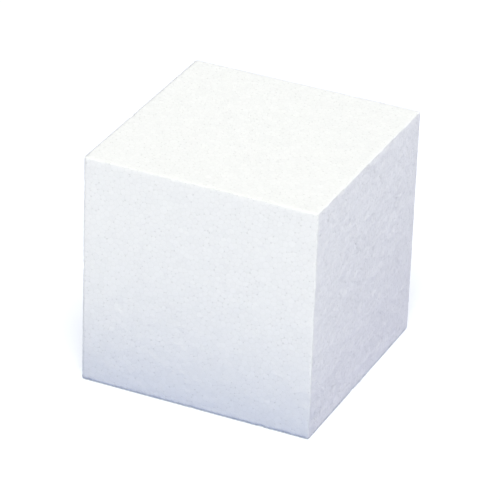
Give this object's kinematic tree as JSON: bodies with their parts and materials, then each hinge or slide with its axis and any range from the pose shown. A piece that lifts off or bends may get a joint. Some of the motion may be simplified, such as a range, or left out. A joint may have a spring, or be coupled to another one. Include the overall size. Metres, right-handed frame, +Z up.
{
  "type": "floral foam cube",
  "caption": "White rigid foam cube for floral and craft work, with flat faces to stand on, glue to, pin into or push stems into.",
  "frame": {"origin": "centre of the face that the cube stands on", "axes": "+Z up, +X along the front face's width, -Y out of the front face"},
  "size_m": [0.1016, 0.1016, 0.1016],
  "materials": {
    "white_foam": "matte"
  },
  "bodies": {
    "root": {"foam_cube": "white_foam"}
  },
  "joints": []
}
